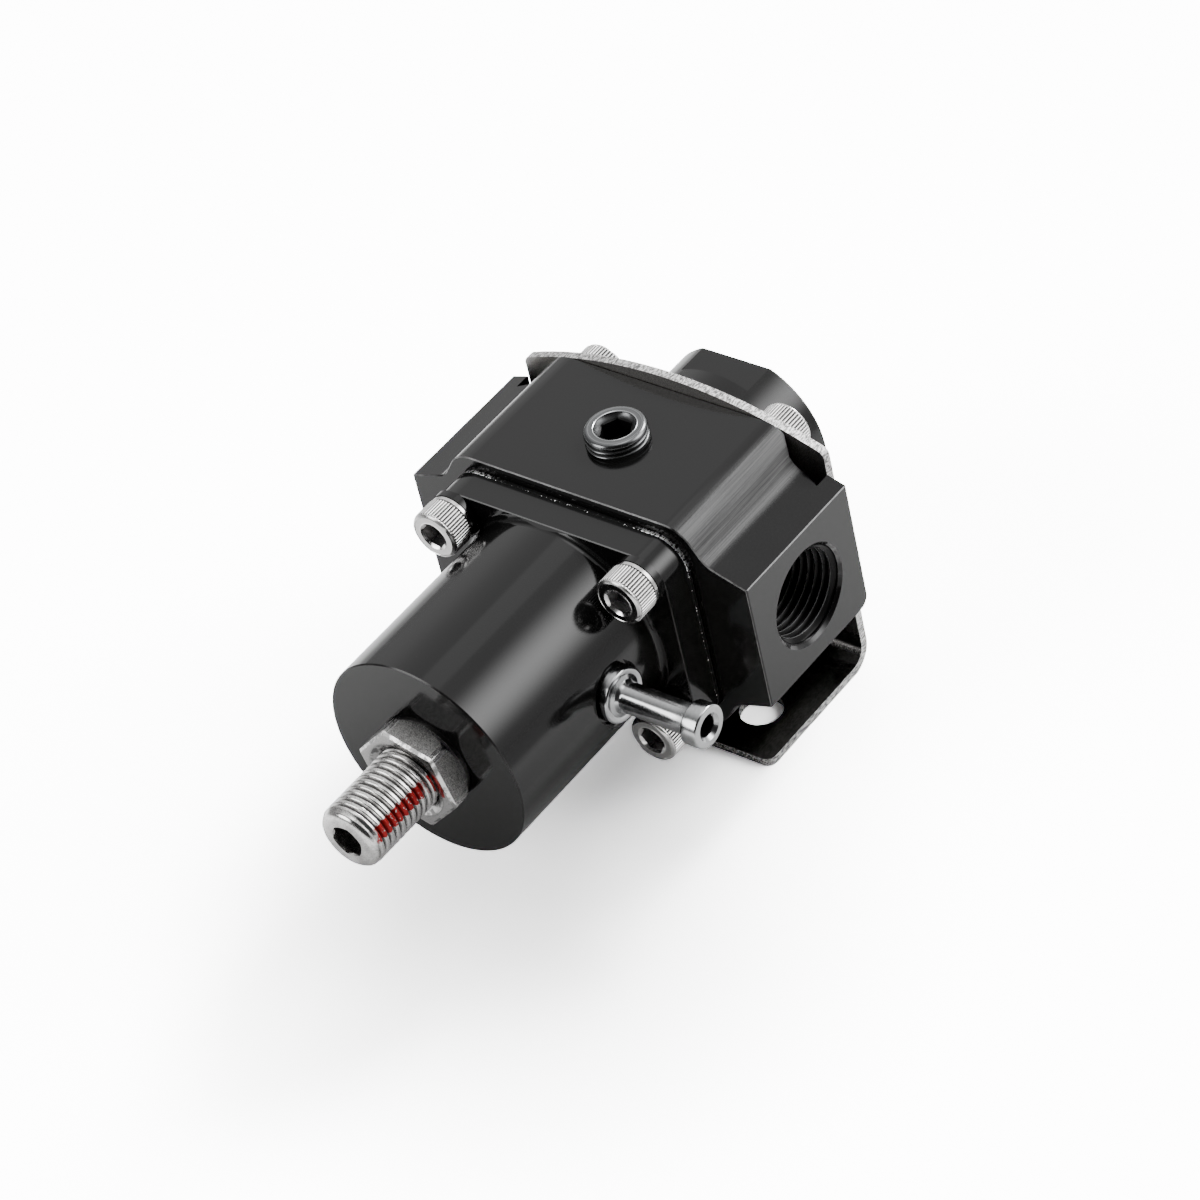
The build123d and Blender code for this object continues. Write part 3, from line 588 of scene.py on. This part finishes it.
# adjusting screw: rounded tip, hexagon socket and a real thread
screw = {"radius": 5.55 * mm, "pitch": 1.27 * mm, "depth": 0.55 * mm, "crest": 0.4, "root": 0.06,
         "round": 1.65 * mm, "flatTip": 3.6 * mm, "socket": 5.0 * mm, "socketDepth": 6.0 * mm,
         "socketTurn": 11.0, "lip": 0.25 * mm, "drill": 1.1 * mm, "threadStart": 0.55 * mm,
         "threadLength": 25.0 * mm, "runOut": 1.1 * mm, "hollow": 3.0 * mm, "around": 120,
         "rowsPerTurn": 16}


def adjustingScrew():
    low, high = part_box("adjusting_screw")
    start, length = low.y, high.y - low.y
    around = screw["around"]
    angles = np.arange(around) * fullTurn / around
    socket = hexagonRadii(screw["socket"], angles, math.radians(screw["socketTurn"]))
    depth = screw["socketDepth"]
    # the drilled bottom, the socket's wall and its rounded lip, painted shade deeper in the socket
    rows = [(0.0, depth + screw["drill"], 0.8), (socket * 0.55, depth + 0.5 * mm, 0.8),
            (socket, depth, 0.7), (socket, 1.6 * mm, 0.5), (socket, 0.5 * mm, 0.35),
            (socket, screw["lip"]), (socket * 0.4 + screw["socket"] * 0.345, 0.0),
            (screw["flatTip"], 0.0)]
    rows += quarterRound(screw["radius"], 0.0, screw["round"], 1, 8)
    # the threaded wall, then the end inside the cap
    count = int(screw["threadLength"] / screw["pitch"] * screw["rowsPerTurn"])
    wall = np.linspace(screw["round"], screw["threadLength"], count)[1:]
    rows += [(screw["radius"], y) for y in wall]
    rows += [(screw["radius"], length), (screw["hollow"], length),
             (0.0, length - screw["drill"])]
    piece = turnedMesh("threadedAdjuster", rows, around)
    place = Matrix.Translation((0, start, axisHeight))
    return runTree(piece, ridges, {
        "Ridges Around": 1.0, "Ridges Per Metre": 1 / screw["pitch"], "Depth": screw["depth"],
        "Crest": screw["crest"], "Root": screw["root"], "Start": screw["threadStart"],
        "End": screw["threadLength"], "Fade": screw["runOut"], "Keep Inside": screw["flatTip"],
        "Material": threadSteel}, place)


adjuster = adjustingScrew()
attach(adjuster, "adjuster")
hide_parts("adjusting_screw")
print("adjusting screw", len(adjuster.data.polygons))


# knurled socket screws, four in front of the cap and four behind the bracket
headScrew = {"radius": 4.25 * mm, "height": 5.0 * mm, "socket": 4.0 * mm, "deep": 2.6 * mm,
             "drill": 0.6 * mm, "ring": 2.52 * mm, "face": 3.65 * mm, "sunk": 0.06 * mm,
             "edge": 0.12 * mm, "chamfer": 0.5 * mm, "groove": 0.87 * mm, "collar": 0.65 * mm,
             "ridges": 48, "knurl": 0.24 * mm, "crest": 0.42, "root": 0.22,
             "knurlInside": 4.05 * mm, "shank": 2.5 * mm, "around": 384}
pattern = {"Half Width": 18.05 * mm, "Half Height": 14.4 * mm, "Material": screwSteel}


def headScrewMesh(name, length):
    # the seat is at y = 0, the head in front of it and the shank behind
    around = headScrew["around"]
    angles = np.arange(around) * fullTurn / around
    socket = hexagonRadii(headScrew["socket"], angles)
    top, radius = -headScrew["height"], headScrew["radius"]
    bottom, sunk = top + headScrew["deep"], top + headScrew["sunk"]
    rim, edge = radius - headScrew["edge"], top + headScrew["chamfer"]
    # the socket, darker inwards as painted shade, then a polished ring round it with a painted
    # highlight
    rows = [(0.0, bottom + headScrew["drill"], 0.6), (socket, bottom, 0.5),
            (socket, top + 1.2 * mm, 0.35), (socket, top + 0.5 * mm, 0.25),
            (socket, top + 0.35 * mm), (headScrew["ring"] - 0.1 * mm, top + 0.08 * mm, -0.6),
            (headScrew["ring"], top, -0.6), (headScrew["ring"] + 0.14 * mm, sunk, -0.4),
            (headScrew["ring"] + 0.22 * mm, sunk)]
    # the sunk face, the rounded edge and the knurled wall
    rows += [(headScrew["face"] - 0.08 * mm, sunk), (headScrew["face"], top),
             (headScrew["face"] + 0.2 * mm, top + 0.1 * mm),
             (rim - 0.05 * mm, top + 0.26 * mm), (rim, edge - 0.1 * mm),
             (rim, edge), (radius, edge + 0.12 * mm), (radius, top + 2.5 * mm),
             (radius, -headScrew["groove"] - 0.08 * mm)]
    # a groove darkened as painted shade, the plain collar and the shank
    rows += [(rim - 0.12 * mm, -headScrew["groove"], 1.0),
             (rim - 0.12 * mm, -headScrew["collar"] - 0.08 * mm, 1.0),
             (rim + 0.04 * mm, -headScrew["collar"]), (rim + 0.04 * mm, -0.12 * mm),
             (rim - 0.1 * mm, 0.0), (headScrew["shank"], 0.0),
             (headScrew["shank"], length), (0.0, length)]
    return turnedMesh(name, rows, around)


def screwSet(name, length, seed, seat, flip, names):
    piece = headScrewMesh(name + "Blank", length)
    knurled = runTree(piece, ridges, {
        "Ridges Around": float(headScrew["ridges"]), "Ridges Per Metre": 0.0,
        "Depth": headScrew["knurl"], "Crest": headScrew["crest"], "Root": headScrew["root"],
        "Start": -headScrew["height"] + headScrew["chamfer"] - 0.02 * mm,
        "End": -headScrew["groove"] - 0.01 * mm, "Fade": 0.1 * mm,
        "Keep Inside": headScrew["knurlInside"], "Material": screwSteel}, name=name + "Knurled")
    facing = Matrix.Rotation(math.pi if flip else 0, 4, "Z")
    place = Matrix.Translation((0, seat, axisHeight)) @ facing
    result = runTree(knurled, corners, {**pattern, "Seed": seed}, place, name)
    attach(result, "housing")
    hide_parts(*names)


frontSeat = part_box("cap_washer_1")[0].y
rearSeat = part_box("bracket")[1].y
screwSet("capScrews", 15.9 * mm, 3, frontSeat, False, [f"cap_screw_{i}" for i in range(1, 5)])
screwSet("bracketScrews", 11.9 * mm, 8, rearSeat, True,
         [f"bracket_screw_{i}" for i in range(1, 5)])
print("knurled screws placed")


# gauge plug: rounded rim, round recess, hexagon socket and a few turns of thread
plug = {"radius": 5.15 * mm, "pitch": 0.94 * mm, "depth": 0.45 * mm, "crest": 0.2, "root": 0.2,
        "threadStart": 0.9 * mm, "runOut": 0.25 * mm, "threadInside": 4.4 * mm,
        "socket": 4.8 * mm, "socketDepth": 4.2 * mm, "drill": 0.7 * mm, "recess": 3.5 * mm,
        "dish": 0.9 * mm, "dishRadius": 2.85 * mm, "ring": 0.05 * mm, "rim": 4.3 * mm,
        "lip": 0.05 * mm, "around": 120, "rows": 90}


def gaugePlug():
    low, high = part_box("gauge_plug")
    length = high.z - low.z
    around = plug["around"]
    angles = np.arange(around) * fullTurn / around
    socket = hexagonRadii(plug["socket"], angles)
    deep, dish, lip = plug["socketDepth"], plug["dish"], plug["lip"]
    recess, ring = plug["recess"], plug["ring"]
    side = plug["radius"] - plug["rim"]
    # the socket and the dished recess, darker inwards as painted shade, and the ring round it,
    # polished with a painted highlight, as is the rim
    rows = [(0.0, deep + plug["drill"], 1.0), (socket, deep, 1.0), (socket, 1.6 * mm, 1.0),
            (socket, dish + 0.1 * mm, 0.9), (plug["dishRadius"], dish - 0.1 * mm, 0.6),
            (recess - 0.15 * mm, 0.3 * mm, 0.3), (recess - ring, lip, -0.3),
            (recess + ring, 0.0, -0.4), (recess + 0.15 * mm, lip),
            (plug["rim"] - 0.1 * mm, lip), (plug["rim"], 0.0, -0.2)]
    rows += quarterRound(plug["radius"], 0.0, side, 1, 7)[1:]
    rows += [(plug["radius"], y) for y in np.linspace(side, length, plug["rows"])[1:]]
    rows.append((0.0, length))
    piece = turnedMesh("threadedPlug", rows, around)
    upright = Matrix.Rotation(-math.pi / 2, 4, "X")
    place = Matrix.Translation((0, (low.y + high.y) / 2, high.z)) @ upright
    return runTree(piece, ridges, {
        "Ridges Around": 1.0, "Ridges Per Metre": 1 / plug["pitch"], "Depth": plug["depth"],
        "Crest": plug["crest"], "Root": plug["root"], "Start": plug["threadStart"],
        "End": length, "Fade": plug["runOut"], "Keep Inside": plug["threadInside"],
        "Material": plugSteel}, place)


gaugePiece = gaugePlug()
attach(gaugePiece, "housing")
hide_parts("gauge_plug")
print("gauge plug", len(gaugePiece.data.polygons))


# pipe threads in the two side ports and the return port
pipe = {"wall": 8.19 * mm, "step": 0.02 * mm, "pitch": 1.41 * mm, "depth": 0.85 * mm,
        "crest": 0.08, "root": 0.08, "mouth": 0.5 * mm, "length": 12.9 * mm,
        "past": 20.0 * mm, "runIn": 0.8 * mm, "outside": 9.2 * mm, "around": 96, "rows": 110}


def portThread(name, mouth, outward):
    rows = [(pipe["wall"], pipe["mouth"])]
    rows += [(pipe["wall"] - pipe["step"], y)
             for y in np.linspace(pipe["mouth"], pipe["length"], pipe["rows"])[1:]]
    # the sleeve's outer wall lies inside the metal around the port
    rows += [(pipe["outside"], pipe["length"]), (pipe["outside"], pipe["mouth"]), rows[0]]
    piece = turnedMesh(name, rows, pipe["around"])
    facing = Vector(outward).to_track_quat("-Y", "Z").to_matrix().to_4x4()
    result = runTree(piece, ridges, {
        "Ridges Around": 1.0, "Ridges Per Metre": 1 / pipe["pitch"], "Depth": pipe["depth"],
        "Crest": pipe["crest"], "Root": pipe["root"], "Start": pipe["mouth"] - 0.1 * mm,
        "End": pipe["past"], "Fade": pipe["runIn"], "Keep Inside": 0.0,
        "Material": blackThread}, Matrix.Translation(mouth) @ facing)
    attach(result, "housing")


portThread("rightPortThread", (portFace, portY, axisHeight), (1, 0, 0))
portThread("leftPortThread", (-portFace, portY, axisHeight), (-1, 0, 0))
portThread("returnPortThread", (0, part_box("rear_cap")[1].y, axisHeight), (0, 1, 0))
print("port threads cut")


# hose barb: raised ring on the collar, filleted stem and a rounded bead
barb = {"seat": 17.2 * mm, "bore": 1.8 * mm, "mouth": 2.25 * mm, "stem": 2.5 * mm,
        "bead": 3.6 * mm, "beadLength": 3.0 * mm, "beadFront": 0.35 * mm, "beadRear": 0.3 * mm,
        "collar": 4.6 * mm, "collarLength": 2.5 * mm, "collarFront": 0.4 * mm,
        "collarRear": 0.25 * mm, "ring": 3.5 * mm, "thread": 3.0 * mm, "around": 96}


def hoseBarb():
    low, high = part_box("hose_barb")
    seat, end = barb["seat"] - low.x, high.x - low.x
    bead, collar = end - barb["beadLength"], seat + barb["collarLength"]
    stem, bore = barb["stem"], barb["bore"]
    # the bore, darkened as painted shade, the mouth and the bead
    rows = [(bore, 0.0, 1.0), (bore, bead, 1.0), (bore, end - 0.8 * mm, 0.8),
            (bore, end - 0.55 * mm, 0.1), (barb["mouth"], end - 0.1 * mm),
            (barb["mouth"] + 0.12 * mm, end)]
    rows += quarterRound(barb["bead"], end, barb["beadFront"], -1)
    rows += quarterRound(barb["bead"], bead, barb["beadRear"], 1)[::-1]
    # the stem, with painted shade under the bead, which widens into the collar
    rows += [(stem + 0.15 * mm, bead, 0.7), (stem, bead - 0.12 * mm, 0.5)]
    rows += [(stem, bead + (collar - bead) * t) for t in (0.3, 0.6, 0.92)]
    rows += [(stem + 0.08 * mm, collar + 0.5 * mm), (stem + 0.3 * mm, collar + 0.12 * mm)]
    # the groove inside the collar's raised ring, darkened as painted shade, the collar and the
    # thread
    rows += [(barb["ring"] - 0.3 * mm, collar - 0.05 * mm),
             (barb["ring"], collar - 0.16 * mm, 0.4),
             (barb["ring"] + 0.25 * mm, collar - 0.08 * mm)]
    rows += quarterRound(barb["collar"], collar, barb["collarFront"], -1)
    rows += quarterRound(barb["collar"], seat, barb["collarRear"], 1)[::-1]
    rows += [(barb["thread"], seat), (barb["thread"], 0.0), (bore, 0.0)]
    piece = turnedMesh("turnedBarb", rows, barb["around"])
    sideways = Matrix.Rotation(-math.pi / 2, 4, "Z")
    middle = (low.x, (low.y + high.y) / 2, axisHeight)
    piece.data.transform(Matrix.Translation(middle) @ sideways)
    piece.data.materials.append(brightZinc)
    return piece


barbPiece = hoseBarb()
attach(barbPiece, "housing")
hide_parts("hose_barb")
print("hose barb", len(barbPiece.data.polygons))


# the diaphragm's ragged edge, which follows the flange's outline
raggedEdge = {"width": 44.9 * mm, "height": 36.8 * mm, "corner": 5.2 * mm, "thick": 0.7 * mm,
              "proud": 0.12 * mm, "middle": 0.45 * mm, "grain": 1400.0, "points": 900,
              "pointsAround": 12, "seed": 4}


def edgeTree():
    graph, size = newTree("edgeTree", {
        "Width": ("Float", 45.0 * mm), "Height": ("Float", 37.0 * mm),
        "Corner": ("Float", 5.0 * mm), "Thickness": ("Float", 0.6 * mm),
        "Proud": ("Float", 0.2 * mm), "Seed": ("Float", 1.0), "Material": ("Material", None)})
    outline = graph.wire("GeometryNodeCurvePrimitiveQuadrilateral", {"mode": "RECTANGLE"},
                         {"Width": size["Width"], "Height": size["Height"]})
    outline = graph.wire("GeometryNodeFilletCurve", {"mode": "POLY"},
                         {"Curve": outline, "Count": 12, "Radius": size["Corner"]})
    outline = graph.wire("GeometryNodeResampleCurve", None,
                         {"Curve": outline, "Count": raggedEdge["points"]})
    profile = graph.wire("GeometryNodeCurvePrimitiveQuadrilateral", {"mode": "RECTANGLE"},
                         {"Width": size["Thickness"], "Height": size["Thickness"]})
    profile = graph.wire("GeometryNodeResampleCurve", None,
                         {"Curve": profile, "Count": raggedEdge["pointsAround"]})
    strip = graph.wire("GeometryNodeCurveToMesh", None,
                       {"Curve": outline, "Profile Curve": profile})
    position = graph.wire("GeometryNodeInputPosition")
    shake = graph.wire("ShaderNodeTexNoise", {"noise_dimensions": "4D"},
                       {"Vector": position, "W": size["Seed"], "Scale": raggedEdge["grain"],
                        "Detail": 3.0}, 1)
    push = graph.wire("ShaderNodeVectorMath", {"operation": "SUBTRACT"},
                      {0: shake, 1: (0.5, 0.5, 0.5)})
    push = graph.wire("ShaderNodeVectorMath", {"operation": "SCALE"},
                      {0: push, "Scale": size["Proud"] * 3.0})
    strip = graph.wire("GeometryNodeSetPosition", None, {"Geometry": strip, "Offset": push})
    return closeTree(graph, strip, size["Material"])


def diaphragmEdge():
    piece = placed("diaphragmEdge", bpy.data.meshes.new("diaphragmEdge"))
    upright = Matrix.Rotation(math.pi / 2, 4, "X")
    place = Matrix.Translation((0, bodyFront - raggedEdge["middle"], axisHeight)) @ upright
    return runTree(piece, edgeTree(), {
        "Width": raggedEdge["width"] - raggedEdge["thick"],
        "Height": raggedEdge["height"] - raggedEdge["thick"],
        "Corner": raggedEdge["corner"], "Thickness": raggedEdge["thick"],
        "Proud": raggedEdge["proud"], "Seed": float(raggedEdge["seed"]),
        "Material": sheetEdge}, place)


edgePiece = diaphragmEdge()
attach(edgePiece, "housing")
print("diaphragm edge", len(edgePiece.data.polygons))


# the main spring cut into front coils and rear coils at one fixed place
spring = {"closed": 2.2 * mm, "rearLength": 6.4 * mm, "still": 0.1 * mm}


def springLength(name, cut, keepFront):
    mesh = nodes["main_spring"].data.copy()
    mesh.name = name
    mesh.materials.clear()
    mesh.materials.append(springWire)
    shape = bmesh.new()
    shape.from_mesh(mesh)
    bmesh.ops.remove_doubles(shape, verts=shape.verts, dist=1e-7)
    whole = list(shape.verts) + list(shape.edges) + list(shape.faces)
    done = bmesh.ops.bisect_plane(shape, geom=whole, plane_co=(0, cut, 0), plane_no=(0, 1, 0),
                                  clear_outer=keepFront, clear_inner=not keepFront)
    rim = [e for e in done["geom_cut"] if isinstance(e, bmesh.types.BMEdge)]
    bmesh.ops.triangle_fill(shape, use_beauty=True, edges=rim)
    bmesh.ops.recalc_face_normals(shape, faces=shape.faces)
    creased(shape)
    shape.to_mesh(mesh)
    shape.free()
    return placed(name, mesh)


springLow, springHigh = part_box("main_spring")
springCut = springHigh.y - spring["rearLength"]
frontCoils = springLength("springFrontCoils", springCut, True)
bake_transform(frontCoils)
rearCoils = springLength("springRearCoils", springCut, False)
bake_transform(rearCoils)
for coils in (frontCoils, rearCoils):
    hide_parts("main_spring")
print("main spring", len(frontCoils.data.polygons) + len(rearCoils.data.polygons))


# floor: paper white where the lens sees it, darker where it lights the part from below
ground = {"reach": 3.0, "seen": 5.4, "lit": 0.92, "farLit": 0.45, "farRight": (0.08, 0.14),
          "farLeft": (-0.13, -0.3), "shadowAt": (0.02, -0.055, 0.0), "seenShadow": 0.6,
          "seenReach": 0.07, "litShadow": 0.6, "litReach": 0.115}


def makeFloor():
    mesh = bpy.data.meshes.new("floor")
    reach = ground["reach"]
    mesh.from_pydata([(-reach, -reach, 0), (reach, -reach, 0), (reach, reach, 0),
                      (-reach, reach, 0)], [], [(0, 1, 2, 3)])
    floor = placed("floor", mesh)
    material = bpy.data.materials.new("paleFloor")
    material.use_nodes = True
    graph = Graph(material.node_tree)
    place = graph.wire("ShaderNodeTexCoord", output=3)
    tone = graph.wire("ShaderNodeTexNoise", None, {"Vector": place, "Scale": 3.0, "Detail": 2.0})
    across = graph.axes(place)[0]
    away = graph.larger(graph.ramp(across, *ground["farRight"]),
                        graph.ramp(across, *ground["farLeft"]))
    lit = graph.mix(away, grey(ground["lit"]), grey(ground["farLit"]))
    seen = graph.mix(tone, grey(ground["seen"]), grey(ground["seen"] * 1.03))
    # the barrel's own shadow, deeper than the soft lights leave it
    off = graph.wire("ShaderNodeVectorMath", {"operation": "DISTANCE"},
                     {0: place, 1: ground["shadowAt"]}, 1)
    lit = graph.mix(graph.ramp(off, ground["litReach"], 0.0) * ground["litShadow"], lit, grey(0.0))
    seen = graph.mix(graph.ramp(off, ground["seenReach"], 0.0) * ground["seenShadow"], seen,
                     grey(0.0))
    direct = graph.wire("ShaderNodeLightPath", output="Is Camera Ray")
    matt = graph.wire("ShaderNodeBsdfDiffuse", None, {"Color": graph.mix(direct, lit, seen)})
    out = next(n for n in graph.tree.nodes if n.type == "OUTPUT_MATERIAL")
    graph.tree.links.new(matt.socket, out.inputs[0])
    mesh.materials.append(material)


# soft light from all round: a dim room with brighter patches
# a patch has an azimuth from +Y towards +X, a height, the radius inside which it is full, the
# radius where it ends, and last the brightness that it adds, or the share that it leaves
sky = {"room": 0.4, "dark": (140.0, 28.0, 38.0, 52.0, 0.12),
       "patches": [(0.0, 45.0, 42.0, 80.0, 1.05), (50.0, 34.0, 0.0, 28.0, 9.7),
                   (62.0, 8.0, 5.0, 32.0, 0.5), (5.0, 36.0, 4.0, 14.0, 54.0),
                   (-149.0, 29.0, 12.0, 21.0, 8.0), (0.0, 82.0, 4.0, 18.0, 3.0)]}


def skyPatch(graph, compass, azimuth, height, inner, outer):
    # 1 within the inner angle of a direction, 0 beyond the outer one, soft between
    az, el = math.radians(azimuth), math.radians(height)
    towards = (math.sin(az) * math.cos(el), math.cos(az) * math.cos(el), math.sin(el))
    near = graph.wire("ShaderNodeVectorMath", {"operation": "DOT_PRODUCT"},
                      {0: compass, 1: towards}, 1)
    return graph.ramp(graph.maths("ARCCOSINE", near), math.radians(outer), math.radians(inner))


def makeSky():
    world = bpy.data.worlds.new("studio")
    bpy.context.scene.world = world
    world.use_nodes = True
    graph = Graph(world.node_tree)
    compass = graph.wire("ShaderNodeTexCoord")
    total = sky["room"]
    for *where, brightness in sky["patches"]:
        total = total + skyPatch(graph, compass, *where) * brightness
    # the dark room behind the photographer
    *where, left = sky["dark"]
    total = total * (1.0 - skyPatch(graph, compass, *where) * (1.0 - left))
    colour = graph.wire("ShaderNodeCombineColor", None, {0: total, 1: total, 2: total})
    background = world.node_tree.nodes["Background"]
    graph.tree.links.new(colour.socket, background.inputs["Color"])


# nested lamps above the barrel, so that the highlight's edges are soft
strip = {"towards": (-0.118, 0.53, 0.84), "reach": 0.18, "from": (0.005, -0.034, 0.044),
         "narrow": 0.014, "wide": 0.062, "lamps": 8, "long": 0.075, "brightness": 5.1}


def makeStrip():
    towards = Vector(strip["towards"]).normalized()
    side = (Vector((1, 0, 0)) - towards * towards.x).normalized()
    pose = Matrix([side, towards.cross(side), towards]).transposed().to_4x4()
    place = Vector(strip["from"]) + towards * strip["reach"]
    for wide in np.linspace(strip["narrow"], strip["wide"], strip["lamps"]):
        light = bpy.data.lights.new("strip", "AREA")
        light.shape = "RECTANGLE"
        light.size = wide
        light.size_y = strip["long"]
        light.energy = strip["brightness"] / strip["lamps"] * math.pi * wide * strip["long"]
        lamp = placed("strip", light)
        lamp.matrix_world = Matrix.Translation(place) @ pose
        lamp.visible_camera = False


# the photograph's angle
view = {"eye": (0.38519, -0.37970, 0.48016), "lens": 134.74, "sensor": 36.0, "near": 0.01,
        "far": 20.0, "right": (0.78735, 0.58786, -0.18574), "up": (-0.28346, 0.61274, 0.73770),
        "back": (0.54747, -0.52818, 0.64908)}


def makeCamera():
    camera = placed("camera", bpy.data.cameras.new("camera"))
    camera.data.lens = view["lens"]
    camera.data.sensor_width = view["sensor"]
    camera.data.clip_start = view["near"]
    camera.data.clip_end = view["far"]
    turn = Matrix([view["right"], view["up"], view["back"]]).transposed()
    camera.matrix_world = Matrix.Translation(view["eye"]) @ turn.to_4x4()
    bpy.context.scene.camera = camera


makeFloor()
makeSky()
makeStrip()
makeCamera()
print("studio ready")
